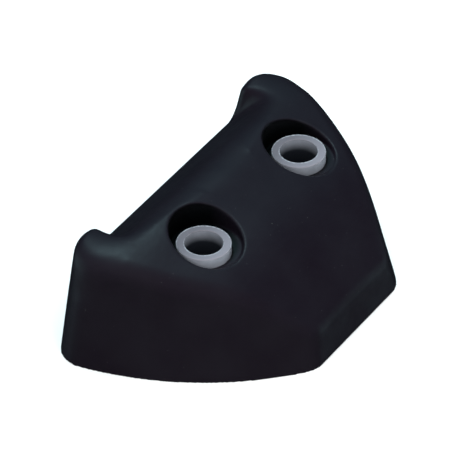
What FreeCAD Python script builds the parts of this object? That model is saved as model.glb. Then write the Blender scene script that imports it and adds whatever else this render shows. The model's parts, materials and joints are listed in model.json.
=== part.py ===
import FreeCAD, Part
import math
import os

# Moulded rubber end module of a speed bump, with two steel anchor sleeves.
# Millimetres. +Z is up, -Y points to the low nose, +Y to the flat mating face.
# The origin is the centre of the whole part's footprint, on the road.

Vector = FreeCAD.Vector

# Rubber block: outline on the road
back_y = 57.4
nose_y = -57.4
back_half_width = 99.2
nose_half_width = 37.0
side_bow_radius = 157.0
back_corner_radius = 15.0
nose_corner_radius = 16.0

# Rubber block: lean of its walls
side_draft_rear_deg = 5.0
side_draft_front_deg = 15.5
back_draft_deg = 4.0
nose_draft_deg = 12.0

# Rubber block: (y, height) of the top along the middle plane, from the back to the nose
top_profile = [
    (62.0, 68.0),
    (45.0, 67.8),
    (28.0, 67.0),
    (3.9, 59.8),
    (-17.0, 51.6),
    (-31.0, 42.0),
    (-53.5, 19.0),
    (-85.0, -12.0),
]
crown_per_mm = 0.001
section_spacing = 8.0
section_count = 14

# Rubber block: rounding along the top's edge, and along the horns' inner edges
shoulder_radius = 12.0
horn_edge_radius = 5.0
horn_inner_radius = 4.0

# Dip that lowers the top towards the back, between the two horns
dip_depth = 11.0
dip_start_y = 20.0
dip_inner_x = 54.0
dip_outer_x = 78.0

# Scoop in the back edge, between the two horns
scoop_half_width = 59.0
scoop_edge_height = 42.4
scoop_slope_deg = 42.0
scoop_flank_deg = 20.0
scoop_crest_radius = 24.0
scoop_straight = 24.0
scoop_crest_rise_deg = 8.0
scoop_corner_radius = 4.0

# Underside: shallow channels that drain through the back face
channel_count = 4
channel_pitch = 14.0
channel_width = 6.0
channel_depth = 2.5
channel_front_y = -30.0

# Steel sleeves, and the round recesses above them
sleeve_x = 42.5
sleeve_y = 3.9
sleeve_outer_radius = 13.35
sleeve_bore_radius = 9.25
sleeve_height = 55.4
sleeve_edge = 0.6
recess_radius = 17.8
recess_floor = 50.3
recess_rim_radius = 1.0

# The left recess lies off its sleeve's axis, inwards and backwards
left_recess_shift = (2.4, 0.3)

# Steel collars moulded into the rubber
collar_radius = 21.0
collar_thickness = 4.0
collar_bottom = 12.0

# Construction sizes, larger than the block
reach = 300.0
wall_height = 85.0
side_overrun = 0.15
floor_depth = -60.0
touching = 0.01


def tan_deg(angle):
    return math.tan(math.radians(angle))


def smooth_step(value):
    value = min(1.0, max(0.0, value))
    return value * value * (3 - 2 * value)


def tall_edges(shape, in_front):
    """The edges that run up the block, at the nose or at the back."""
    return [
        edge
        for edge in shape.Edges
        if edge.BoundBox.ZLength > wall_height / 2 and (edge.CenterOfMass.y < 0) == in_front
    ]


def side_points(height, side):
    """Three points of a side wall at one height; its lean grows from the back to the nose."""
    rear = Vector(back_half_width, back_y, 0)
    front = Vector(nose_half_width, nose_y, 0)
    chord = front - rear
    outward = Vector(-chord.y, chord.x, 0).normalize()
    depth = math.sqrt(side_bow_radius**2 - (chord.Length / 2) ** 2)
    centre = (rear + front) / 2 - outward * depth
    start = math.atan2(rear.y - centre.y, rear.x - centre.x)
    end = math.atan2(front.y - centre.y, front.x - centre.x)
    points = []
    for share in (-side_overrun, 0.5, 1 + side_overrun):
        angle = start + share * (end - start)
        lean = side_draft_rear_deg + share * (side_draft_front_deg - side_draft_rear_deg)
        radius = side_bow_radius - height * tan_deg(lean)
        x = centre.x + radius * math.cos(angle)
        y = centre.y + radius * math.sin(angle)
        points.append(Vector(side * x, y, height))
    return points


def side_wall_outline(height):
    """Closed outline through both side walls at one height."""
    right = side_points(height, 1)
    left = side_points(height, -1)
    return Part.Wire([
        Part.LineSegment(left[0], right[0]).toShape(),
        Part.Arc(*right).toShape(),
        Part.LineSegment(right[2], left[2]).toShape(),
        Part.Arc(*reversed(left)).toShape(),
    ])


def end_cutter(edge_y, side, lean_deg):
    """Everything past a leaning end face that meets the road at edge_y."""
    first_y = 0 if side > 0 else -reach
    cutter = Part.makeBox(2 * reach, reach, 2 * reach, Vector(-reach, first_y, -reach))
    cutter.rotate(Vector(0, 0, 0), Vector(1, 0, 0), side * lean_deg)
    cutter.translate(Vector(0, edge_y, 0))
    return cutter


def make_walls():
    """The leaning walls, far higher than the top, with their upright corners rounded."""
    outlines = [side_wall_outline(0), side_wall_outline(wall_height)]
    walls = Part.makeLoft(outlines, True, True)
    walls = walls.cut(end_cutter(back_y, 1, back_draft_deg))
    walls = walls.cut(end_cutter(nose_y, -1, nose_draft_deg))
    walls = walls.makeFillet(back_corner_radius, tall_edges(walls, False))
    return walls.makeFillet(nose_corner_radius, tall_edges(walls, True))


def top_height(x, y, middle_height):
    """Height of the top: the middle plane's height, less the crown and the rear dip."""
    across = smooth_step((dip_outer_x - abs(x)) / (dip_outer_x - dip_inner_x))
    along = max(0.0, (y - dip_start_y) / (back_y - dip_start_y))
    return middle_height - crown_per_mm * x**2 - dip_depth * across * along**2


def top_section(x):
    """Closed section of all that lies under the top, at one x."""
    points = [Vector(x, y, top_height(x, y, z)) for y, z in top_profile]
    curve = Part.BSplineCurve()
    curve.interpolate(points)
    low_rear = Vector(x, points[0].y, floor_depth)
    low_front = Vector(x, points[-1].y, floor_depth)
    return Part.Wire([
        curve.toShape(),
        Part.LineSegment(points[-1], low_front).toShape(),
        Part.LineSegment(low_front, low_rear).toShape(),
        Part.LineSegment(low_rear, points[0]).toShape(),
    ])


def make_sharp_block():
    stations = [section_spacing * step for step in range(-section_count, section_count + 1)]
    under_top = Part.makeLoft([top_section(x) for x in stations], True, False)
    return make_walls().common(under_top)


def edge_radii(edge):
    """Radii at the two ends of an edge of the top: tight along the back, wide elsewhere."""
    box = edge.BoundBox
    is_back = box.XLength > box.YLength and box.YMin > back_y / 2
    is_back_corner = not is_back and box.YMax > back_y - back_corner_radius
    if is_back:
        return horn_edge_radius, horn_edge_radius
    if is_back_corner:
        return shoulder_radius, horn_edge_radius
    return shoulder_radius, shoulder_radius


def round_top(block):
    """Rounds the top's whole edge."""
    document = FreeCAD.newDocument("rounding")
    sharp = document.addObject("Part::Feature", "sharp")
    sharp.Shape = block
    top = max(sharp.Shape.Faces, key=lambda face: face.CenterOfMass.z)
    rounded = document.addObject("Part::Fillet", "rounded")
    rounded.Base = sharp
    rounded.Edges = [
        (number, *edge_radii(edge))
        for number, edge in enumerate(sharp.Shape.Edges, 1)
        if any(edge.isSame(other) for other in top.Edges)
    ]
    document.recompute()
    return rounded.Shape.copy()


def scoop_floor_section():
    """Side view of the scoop: a straight floor, an arc that bends it over into the top, and above."""
    slope = math.radians(scoop_slope_deg)
    rise = math.radians(scoop_crest_rise_deg)
    down = Vector(0, math.cos(slope), -math.sin(slope))
    forward = Vector(0, -math.cos(rise), -math.sin(rise))
    edge = Vector(0, back_y - scoop_edge_height * tan_deg(back_draft_deg), scoop_edge_height)
    arc_start = edge - down * scoop_straight
    centre = arc_start - Vector(0, math.sin(slope), math.cos(slope)) * scoop_crest_radius

    def on_arc(angle):
        return centre + Vector(0, math.sin(angle), math.cos(angle)) * scoop_crest_radius

    outer = edge + down * scoop_straight
    front = on_arc(-rise) + forward * scoop_straight
    high_front = Vector(0, front.y, reach)
    high_back = Vector(0, outer.y, reach)
    return Part.Wire([
        Part.LineSegment(outer, arc_start).toShape(),
        Part.Arc(arc_start, on_arc((slope - rise) / 2), on_arc(-rise)).toShape(),
        Part.LineSegment(on_arc(-rise), front).toShape(),
        Part.LineSegment(front, high_front).toShape(),
        Part.LineSegment(high_front, high_back).toShape(),
        Part.LineSegment(high_back, outer).toShape(),
    ])


def make_scoop():
    """The space between the horns, with rounded corners where its floor meets its flanks."""
    floor = Part.Face(scoop_floor_section()).extrude(Vector(2 * reach, 0, 0))
    floor.translate(Vector(-reach, 0, 0))
    low_half = scoop_half_width - scoop_edge_height * tan_deg(scoop_flank_deg)
    high_half = low_half + reach * tan_deg(scoop_flank_deg)
    flanks = Part.makePolygon([
        Vector(-low_half, -reach, 0),
        Vector(low_half, -reach, 0),
        Vector(high_half, -reach, reach),
        Vector(-high_half, -reach, reach),
        Vector(-low_half, -reach, 0),
    ])
    scoop = floor.common(Part.Face(flanks).extrude(Vector(0, 2 * reach, 0)))
    corners = [
        edge
        for edge in scoop.Edges
        if edge.BoundBox.XLength < reach / 4
        and edge.BoundBox.YLength > scoop_corner_radius
        and edge.CenterOfMass.z < wall_height
    ]
    return scoop.makeFillet(scoop_corner_radius, corners)


def middle_of(edge):
    return edge.valueAt((edge.FirstParameter + edge.LastParameter) / 2)


def lies_on(point, shape):
    return shape.Shells[0].distToShape(Part.Vertex(point))[0] < touching


def shared_edges(shape, block, cutter):
    """The edges that a cutter leaves in the outside of the block."""
    return [
        edge
        for edge in shape.Edges
        if lies_on(middle_of(edge), block) and lies_on(middle_of(edge), cutter)
    ]


def round_horn(half, block, scoop):
    """Rounds the inner edge of the right horn, where the scoop's flank cuts the block."""
    horn_edge = max(shared_edges(half, block, scoop), key=lambda edge: middle_of(edge).x)
    return half.makeFillet(horn_inner_radius, [horn_edge])


def make_horned_block():
    """The block with its scoop: the right half is made, then mirrored."""
    block = round_top(make_sharp_block())
    scoop = make_scoop()
    right_side = Part.makeBox(reach, 2 * reach, reach, Vector(0, -reach, 0))
    half = block.cut(scoop).common(right_side).Solids[0]
    half = round_horn(half, block, scoop)
    other_half = half.mirror(Vector(0, 0, 0), Vector(1, 0, 0))
    return half.fuse(other_half).removeSplitter().Solids[0]


def cut_recess(body, x, y):
    """Cuts a round recess down from the top and softens its rim."""
    recess = Part.makeCylinder(recess_radius, wall_height, Vector(x, y, recess_floor))
    cut_body = body.cut(recess)
    return cut_body.makeFillet(recess_rim_radius, shared_edges(cut_body, body, recess))


def make_channel(x):
    """A shallow round-ended slot along Y, open at the back face."""
    round_end = Part.makeCylinder(channel_width / 2, channel_depth, Vector(x, channel_front_y, 0))
    slot = Part.makeBox(
        channel_width, reach, channel_depth, Vector(x - channel_width / 2, channel_front_y, 0)
    )
    return round_end.fuse(slot)


def make_rubber_body():
    body = make_horned_block()
    body = cut_recess(body, sleeve_x, sleeve_y)
    body = cut_recess(body, -sleeve_x + left_recess_shift[0], sleeve_y + left_recess_shift[1])
    for x in (-sleeve_x, sleeve_x):
        body = body.cut(make_sleeve_space(x)).cut(make_collar_space(x))
    for number in range(channel_count):
        body = body.cut(make_channel((number - (channel_count - 1) / 2) * channel_pitch))
    return body.Solids[0]


def make_sleeve_space(x):
    """The round space that a steel sleeve fills."""
    return Part.makeCylinder(sleeve_outer_radius, sleeve_height, Vector(x, sleeve_y, 0))


def make_collar_space(x):
    """The round space that a steel collar fills, sleeve included."""
    return Part.makeCylinder(collar_radius, collar_thickness, Vector(x, sleeve_y, collar_bottom))


def make_sleeve(x):
    """A steel tube from the road to just above the recess's floor, with softened ends."""
    bore = Part.makeCylinder(sleeve_bore_radius, sleeve_height, Vector(x, sleeve_y, 0))
    tube = make_sleeve_space(x).cut(bore)
    ends = [edge for edge in tube.Edges if edge.BoundBox.ZLength < touching]
    return tube.makeFillet(sleeve_edge, ends)


def make_collar(x):
    """A flat steel ring round the sleeve, which keeps it from being pulled out of the rubber."""
    return make_collar_space(x).cut(make_sleeve_space(x))


def save(shape, name):
    shape.exportStep(f"parts/{name}.step")
    print(name, "valid" if shape.isValid() else "not valid", round(shape.Volume), "mm3")


os.makedirs("parts", exist_ok=True)
save(make_rubber_body(), "rubber_body")
for side_name, side in (("left", -1), ("right", 1)):
    save(make_sleeve(side * sleeve_x), f"sleeve_{side_name}")
    save(make_collar(side * sleeve_x), f"collar_{side_name}")
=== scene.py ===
import json
import math

import bpy
from mathutils import Matrix, Vector


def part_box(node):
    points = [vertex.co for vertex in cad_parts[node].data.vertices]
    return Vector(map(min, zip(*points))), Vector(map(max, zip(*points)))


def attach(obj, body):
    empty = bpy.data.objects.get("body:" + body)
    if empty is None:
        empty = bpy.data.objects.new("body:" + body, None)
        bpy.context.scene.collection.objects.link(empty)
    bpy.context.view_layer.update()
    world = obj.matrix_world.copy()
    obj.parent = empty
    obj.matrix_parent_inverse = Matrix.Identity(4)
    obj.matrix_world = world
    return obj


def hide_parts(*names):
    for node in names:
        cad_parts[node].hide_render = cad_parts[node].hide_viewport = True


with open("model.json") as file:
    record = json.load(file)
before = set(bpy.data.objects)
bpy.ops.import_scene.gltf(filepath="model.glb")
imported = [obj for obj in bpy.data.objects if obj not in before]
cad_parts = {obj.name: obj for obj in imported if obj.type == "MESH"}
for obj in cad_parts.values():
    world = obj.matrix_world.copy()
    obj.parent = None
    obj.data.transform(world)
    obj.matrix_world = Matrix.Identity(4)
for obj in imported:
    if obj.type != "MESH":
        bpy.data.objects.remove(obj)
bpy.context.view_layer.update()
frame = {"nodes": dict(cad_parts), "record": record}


def middle_of(low, high):
    """Middle of a box given by two opposite corners."""
    return (Vector(low) + Vector(high)) / 2


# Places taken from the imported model, in metres
sleeve_axes = [middle_of(*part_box(name)) for name in ("sleeve_left", "sleeve_right")]
sleeve_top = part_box("sleeve_right")[1].z
recess_axes = [
    middle_of(*opening["box_m"])
    for opening in frame["record"]["physics"]["openings"]
    if opening["name"].startswith("bolt_head")
]
recess_radius = 0.0178

# Recesses: painted shade, darkest towards the horns where they are deepest; the painted shade is a
# disc moved that way
recess_shade_shift = Vector((0, 0.003, 0))
recess_rim_softness = 0.0006
recess_shade_softness = 0.0012

# Camera: direction from the object, distance from the sleeves, and how far the axis passes from them
camera_azimuth = -57.208
camera_elevation = 38.621
camera_distance = 2.1671
camera_right = -0.0117
camera_up = -0.0152
camera_lens_mm = 356.04
camera_sensor_mm = 36.0

# Rubber skin: size of its cells and how much its edges are softened
skin_cell = 0.0006
skin_smoothing_rounds = 4
skin_smoothing_share = 0.5

# Rubber skin: the stretch between the horns where its folds are softened further; it reaches
# further forward in the middle, between the recesses
fold_front_y = 0.024
fold_middle_reach = 0.016
fold_middle_x = 0.022
fold_back_y = 0.049
fold_low_z = 0.036
fold_margin = 0.006
fold_smoothing_rounds = 300

# Sleeve's end: middle of its flat ring, where its rounded lips begin, and the shift of their wear and
# painted glints
ring_radius = 0.0113
ring_half_width = 0.0014
lip_softness = 0.0003
lip_wear_and_glint_shift = Vector((-0.0005, -0.0003, 0))

# Sleeve's end: depths between which the sawn finish fades out, and the stretch along Y, measured
# from the sleeve's middle, over which painted light makes it lighter towards the nose
sawn_full = 0.0001
sawn_ends = 0.0008
nose_light_full = -0.012
nose_light_starts = 0.008

# Sleeve's bore: radii between which its wall ends, and depths between which its painted shade deepens
bore_inner_radius = 0.0095
bore_outer_radius = 0.0098
bore_shade_starts = 0.0012
bore_shade_full = 0.0069

# Stage: floor, wide light, glow of the room; a place is azimuth and elevation, in degrees
floor_half_side = 12.0
wide_light_place = (-50, 60)
wide_light_spread = 100
wide_light_strength = 4.3
room_glow_place = (120, 62)
light_distance = 1.6
teal = (0.60, 0.93, 1.0)

# Softboxes: place, side in metres, power in watts
softboxes = {
    "high_softbox": ((140, 70), 0.40, 8.5),
    "left_softbox": ((-150, 0), 1.2, 5.5),
    "right_softbox": ((47, -10), 0.8, 1.3),
}

# Room seen in reflections: colour by how nearly a direction points at the glow, 1 being straight at it
room_colours = {
    0.50: (0.015, 0.025, 0.03, 1),
    0.72: (0.06, 0.13, 0.15, 1),
    0.90: (0.16, 0.34, 0.40, 1),
    1.0: (0.18, 0.38, 0.45, 1),
}


def link(thing):
    bpy.context.scene.collection.objects.link(thing)
    return thing


def bake_modifiers(piece):
    """Replaces a piece's mesh by what its modifiers make of it."""
    shown = piece.evaluated_get(bpy.context.evaluated_depsgraph_get())
    mesh = bpy.data.meshes.new_from_object(shown)
    piece.modifiers.clear()
    piece.data = mesh


def direction_at(azimuth, elevation):
    """Unit vector out from the object; azimuth 0 is over the nose, elevation 90 is straight up."""
    azimuth = math.radians(azimuth)
    elevation = math.radians(elevation)
    return Vector((
        math.sin(azimuth) * math.cos(elevation),
        -math.cos(azimuth) * math.cos(elevation),
        math.sin(elevation),
    ))


class Material:
    """A node material with short calls for adding and joining nodes."""

    def __init__(self, name):
        self.data = bpy.data.materials.new(name)
        self.data.use_nodes = True
        self.tree = self.data.node_tree
        self.shader = self.tree.nodes["Principled BSDF"]
        self.place = self.add("ShaderNodeTexCoord").outputs["Object"]

    def fill(self, socket, value):
        """Joins a socket to another node's output, or gives it a constant."""
        if isinstance(value, bpy.types.NodeSocket):
            self.tree.links.new(value, socket)
        else:
            socket.default_value = value

    def add(self, kind, inputs=None, **settings):
        """Adds a node, sets its properties, and joins or fills its input sockets."""
        node = self.tree.nodes.new(kind)
        for name, value in settings.items():
            setattr(node, name, value)
        for name, value in (inputs or {}).items():
            self.fill(node.inputs[name], value)
        return node

    def shade(self, name, value):
        self.fill(self.shader.inputs[name], value)

    def from_axis(self, axis):
        """Distance from the upright line through a point."""
        flat = self.add("ShaderNodeVectorMath", {0: self.place, 1: (1, 1, 0)}, operation="MULTIPLY")
        links = {0: flat.outputs[0], 1: (axis.x, axis.y, 0)}
        return self.add("ShaderNodeVectorMath", links, operation="DISTANCE").outputs["Value"]

    def from_nearest(self, axes):
        """Distance from the nearer one of two upright lines."""
        return self.math("MINIMUM", *[self.from_axis(axis) for axis in axes])

    def math(self, operation, first, second=0.0):
        return self.add("ShaderNodeMath", {0: first, 1: second}, operation=operation).outputs[0]

    def ramp(self, value, low, high, start=0.0, end=1.0):
        """Turns low..high of a value into start..end, held at both ends."""
        links = {"Value": value, "From Min": low, "From Max": high, "To Min": start, "To Max": end}
        return self.add("ShaderNodeMapRange", links).outputs["Result"]

    def noise(self, scale, detail=3.0, roughness=0.5, vector=None):
        links = {
            "Vector": vector or self.place,
            "Scale": scale,
            "Detail": detail,
            "Roughness": roughness,
        }
        return self.add("ShaderNodeTexNoise", links).outputs["Fac"]

    def mix(self, share, first, second):
        """Blends two colours."""
        node = self.add("ShaderNodeMix", {"Factor": share}, data_type="RGBA")
        colours = [socket for socket in node.inputs if socket.type == "RGBA"]
        self.fill(colours[0], first)
        self.fill(colours[1], second)
        return [socket for socket in node.outputs if socket.type == "RGBA"][0]

    def bump(self, height, strength, distance, normal=None):
        links = {"Height": height, "Strength": strength, "Distance": distance}
        if normal:
            links["Normal"] = normal
        return self.add("ShaderNodeBump", links).outputs["Normal"]


def recess_painted_light(rubber):
    """Mask for the painted shade: 0 in the deep side of the recesses, 1 in their shallow side and
    outside them.
    """
    outside = rubber.from_nearest(recess_axes)
    outside = rubber.ramp(outside, recess_radius, recess_radius + recess_rim_softness)
    shallow = rubber.from_nearest([axis + recess_shade_shift for axis in recess_axes])
    shade_start = recess_radius - recess_shade_softness
    shallow = rubber.ramp(shallow, shade_start, recess_radius + recess_shade_softness)
    return rubber.math("MAXIMUM", outside, shallow)


def make_rubber():
    """Black moulded rubber: satin, faintly mottled, with a little dust, paler worn edges, and painted
    shade in the deep side of the recesses.
    """
    rubber = Material("moulded_rubber")
    black = (0.0066, 0.0044, 0.0078, 1)
    bloom = (0.0082, 0.0064, 0.0102, 1)
    worn = (0.014, 0.015, 0.018, 1)
    # painted shade: near-black colour for the deep side of the recesses
    painted_shade = (0.0004, 0.0004, 0.0005, 1)
    dust = (0.05, 0.05, 0.052, 1)
    patches = rubber.ramp(rubber.noise(28.0, 4.0, 0.6), 0.35, 0.7)
    colour = rubber.mix(patches, black, bloom)
    pointiness = rubber.add("ShaderNodeNewGeometry").outputs["Pointiness"]
    edges = rubber.ramp(pointiness, 0.51, 0.58)
    scuffs = rubber.ramp(rubber.noise(180.0, 5.0, 0.7), 0.4, 0.65)
    colour = rubber.mix(rubber.math("MULTIPLY", edges, scuffs), colour, worn)
    specks = rubber.ramp(rubber.noise(900.0, 1.0, 0.4), 0.79, 0.83)
    colour = rubber.mix(specks, colour, dust)
    # painted shade: the deep side of the recesses is painted near black
    colour = rubber.mix(recess_painted_light(rubber), painted_shade, colour)
    grain = rubber.bump(rubber.noise(1500.0, 2.0, 0.5), 0.25, 0.0001)
    grain = rubber.bump(rubber.noise(120.0, 4.0, 0.6), 0.3, 0.0004, grain)
    rubber.shade("Base Color", colour)
    rubber.shade("Roughness", rubber.ramp(rubber.noise(60.0, 4.0, 0.65), 0.3, 0.7, 0.32, 0.50))
    rubber.shade("Normal", grain)
    rubber.shade("Specular IOR Level", 0.22)
    return rubber.data


def make_steel():
    """Dull zinc-plated steel: sawn ends with burnished rims and turning marks; painted light makes the
    sawn ends lighter towards the nose, painted glints sit on the rims, and painted shade darkens the
    bore low down.
    """
    steel = Material("zinc_plated_steel")
    clean = (0.30, 0.32, 0.37, 1)
    dull = (0.24, 0.26, 0.30, 1)
    # the sawn end's tone in painted shade and in painted light: a lit and a shaded copy of one finish
    sawn_in_painted_shade = (0.128, 0.117, 0.137, 1)
    sawn_in_painted_light = (0.215, 0.200, 0.232, 1)
    # burnished wear on the lips, partly painted highlight: glints placed where the light catches
    burnished_and_glint = (0.34, 0.35, 0.39, 1)
    # painted shade: near-black colour for deep in the bore
    painted_bore_shade = (0.012, 0.014, 0.019, 1)
    parts = steel.add("ShaderNodeSeparateXYZ", {"Vector": steel.place}).outputs
    radius = steel.from_nearest(sleeve_axes)
    rings = steel.add("ShaderNodeCombineXYZ", {"X": radius, "Z": parts["Z"]}).outputs["Vector"]
    colour = steel.mix(steel.ramp(steel.noise(140.0, 4.0, 0.6), 0.35, 0.7), clean, dull)
    depth = steel.math("SUBTRACT", sleeve_top, parts["Z"])
    end_face = steel.ramp(depth, sawn_full, sawn_ends, 1.0, 0.0)
    behind = steel.math("SUBTRACT", parts["Y"], sleeve_axes[0].y)
    # painted light: the sawn end is painted lighter towards the nose
    painted_nose_light = steel.ramp(behind, nose_light_full, nose_light_starts, 1.0, 0.0)
    colour = steel.mix(end_face, colour, steel.mix(painted_nose_light, sawn_in_painted_shade, sawn_in_painted_light))
    # painted glints, partly wear, on the lips; moved off centre so they catch on the front inner lip,
    # not the back
    from_ring = steel.from_nearest([axis + lip_wear_and_glint_shift for axis in sleeve_axes])
    from_ring = steel.math("ABSOLUTE", steel.math("SUBTRACT", from_ring, ring_radius))
    lip_wear_and_glint = steel.ramp(from_ring, ring_half_width, ring_half_width + lip_softness)
    lip_wear_and_glint = steel.math("MULTIPLY", lip_wear_and_glint, end_face)
    scuffs = steel.ramp(steel.noise(700.0, 3.0, 0.6), 0.35, 0.6)
    colour = steel.mix(steel.math("MULTIPLY", lip_wear_and_glint, scuffs), colour, burnished_and_glint)
    # painted shade: the bore is painted darker with depth
    in_bore = steel.ramp(radius, bore_inner_radius, bore_outer_radius, 1.0, 0.0)
    bore_shade = steel.math("MULTIPLY", in_bore, steel.ramp(depth, bore_shade_starts, bore_shade_full))
    colour = steel.mix(bore_shade, colour, painted_bore_shade)
    steel.shade("Base Color", colour)
    steel.shade("Metallic", 0.15)
    steel.shade("Roughness", steel.ramp(steel.noise(300.0, 3.0, 0.6), 0.3, 0.7, 0.5, 0.65))
    steel.shade("Normal", steel.bump(steel.noise(2500.0, 2.0, 0.6, rings), 0.15, 0.00005))
    return steel.data


def fold_share(point):
    """1 among the folds between the horns, 0 outside, with a soft border."""
    middle = min(1.0, max(0.0, (fold_middle_x - abs(point.x)) / fold_margin))
    front_y = fold_front_y - middle * fold_middle_reach
    inside = min(point.y - front_y, fold_back_y - point.y, point.z - fold_low_z)
    return min(1.0, max(0.0, inside / fold_margin))


def smooth_all(piece, rounds):
    """Softens a piece, and returns the modifier that does it."""
    smooth = piece.modifiers.new("soften", "SMOOTH")
    smooth.iterations = rounds
    smooth.factor = skin_smoothing_share
    return smooth


def make_skin(material):
    """The rubber body as one even skin with softened edges."""
    skin = link(bpy.data.objects.new("rubber_block", frame["nodes"]["rubber_body"].data.copy()))
    remesh = skin.modifiers.new("even", "REMESH")
    remesh.mode = "VOXEL"
    remesh.voxel_size = skin_cell
    remesh.use_smooth_shade = True
    bake_modifiers(skin)
    folds = skin.vertex_groups.new(name="folds")
    for vertex in skin.data.vertices:
        share = fold_share(vertex.co)
        if share > 0:
            folds.add([vertex.index], share, "REPLACE")
    smooth_all(skin, skin_smoothing_rounds)
    smooth_all(skin, fold_smoothing_rounds).vertex_group = folds.name
    bake_modifiers(skin)
    skin.data.materials.clear()
    skin.data.materials.append(material)
    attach(skin, "root")
    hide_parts("rubber_body")


def dress_node(name, material):
    """Gives a CAD node its finish."""
    node = frame["nodes"][name]
    node.data.materials.clear()
    node.data.materials.append(material)


def make_camera():
    """A long lens that looks down on the module's left side and nose."""
    back = direction_at(camera_azimuth, camera_elevation)
    right = back.cross(Vector((0, 0, -1))).normalized()
    up = back.cross(right)
    target = Vector((0, sleeve_axes[0].y, sleeve_top))
    camera = link(bpy.data.objects.new("camera", bpy.data.cameras.new("camera")))
    camera.data.lens = camera_lens_mm
    camera.data.sensor_width = camera_sensor_mm
    place = target + right * camera_right + up * camera_up + back * camera_distance
    turn = Matrix((right, up, back)).transposed().to_4x4()
    camera.matrix_world = Matrix.Translation(place) @ turn
    bpy.context.scene.camera = camera


def make_floor():
    """A plain white floor."""
    mesh = bpy.data.meshes.new("floor")
    side = floor_half_side
    corners = [(-side, -side, 0), (side, -side, 0), (side, side, 0), (-side, side, 0)]
    mesh.from_pydata(corners, [], [(0, 1, 2, 3)])
    floor = link(bpy.data.objects.new("floor", mesh))
    paper = Material("white_paper")
    shade = paper.ramp(paper.noise(3.0), 0.3, 0.7)
    paper.shade("Base Color", paper.mix(shade, (0.90, 0.90, 0.90, 1), (0.92, 0.92, 0.92, 1)))
    paper.shade("Roughness", 1.0)
    paper.shade("Specular IOR Level", 0.0)
    mesh.materials.append(paper.data)
    floor.visible_glossy = False


def add_light(name, kind, place, strength):
    """A light that shines on the object from the given azimuth and elevation."""
    direction = direction_at(*place)
    data = bpy.data.lights.new(name, kind)
    data.energy = strength
    light = link(bpy.data.objects.new(name, data))
    light.location = direction * light_distance
    light.rotation_euler = direction.to_track_quat("Z", "Y").to_euler()
    return light


def add_softbox(name, place, side, power):
    """A square bluish light that leaves a reflection."""
    softbox = add_light(name, "AREA", place, power)
    softbox.data.size = side
    softbox.data.color = teal


def make_lights():
    """A very wide light that leaves no reflection, and the softboxes that do."""
    wide = add_light("wide_light", "SUN", wide_light_place, wide_light_strength)
    wide.data.angle = math.radians(wide_light_spread)
    wide.visible_glossy = False
    for name, (place, side, power) in softboxes.items():
        add_softbox(name, place, side, power)


def make_room(tree):
    """Colour of the room by direction, bluish and brightest towards its glow."""
    place = tree.nodes.new("ShaderNodeTexCoord").outputs["Generated"]
    facing = tree.nodes.new("ShaderNodeVectorMath")
    facing.operation = "DOT_PRODUCT"
    tree.links.new(place, facing.inputs[0])
    facing.inputs[1].default_value = direction_at(*room_glow_place)
    room = tree.nodes.new("ShaderNodeValToRGB")
    tree.links.new(facing.outputs["Value"], room.inputs["Fac"])
    stops = room.color_ramp.elements
    stops.remove(stops[1])
    stops[0].position = min(room_colours)
    for position in sorted(room_colours)[1:]:
        stops.new(position)
    for stop, position in zip(stops, sorted(room_colours)):
        stop.color = room_colours[position]
    return room.outputs["Color"]


def make_world():
    """A white backdrop for the camera, and a dim room for everything that reflects it."""
    world = bpy.data.worlds.new("studio")
    world.use_nodes = True
    tree = world.node_tree
    choice = tree.nodes.new("ShaderNodeMix")
    choice.data_type = "RGBA"
    seen = tree.nodes.new("ShaderNodeLightPath").outputs["Is Camera Ray"]
    tree.links.new(seen, choice.inputs["Factor"])
    colours = [socket for socket in choice.inputs if socket.type == "RGBA"]
    tree.links.new(make_room(tree), colours[0])
    colours[1].default_value = (1, 1, 1, 1)
    shown = [socket for socket in choice.outputs if socket.type == "RGBA"][0]
    tree.links.new(shown, tree.nodes["Background"].inputs["Color"])
    bpy.context.scene.world = world


def make_stage():
    make_camera()
    make_floor()
    make_world()
    make_lights()
    bpy.context.scene.view_settings.view_transform = "Standard"


make_stage()
rubber_finish = make_rubber()
steel_finish = make_steel()
make_skin(rubber_finish)
for node_name in ("sleeve_left", "sleeve_right", "collar_left", "collar_right"):
    dress_node(node_name, steel_finish)
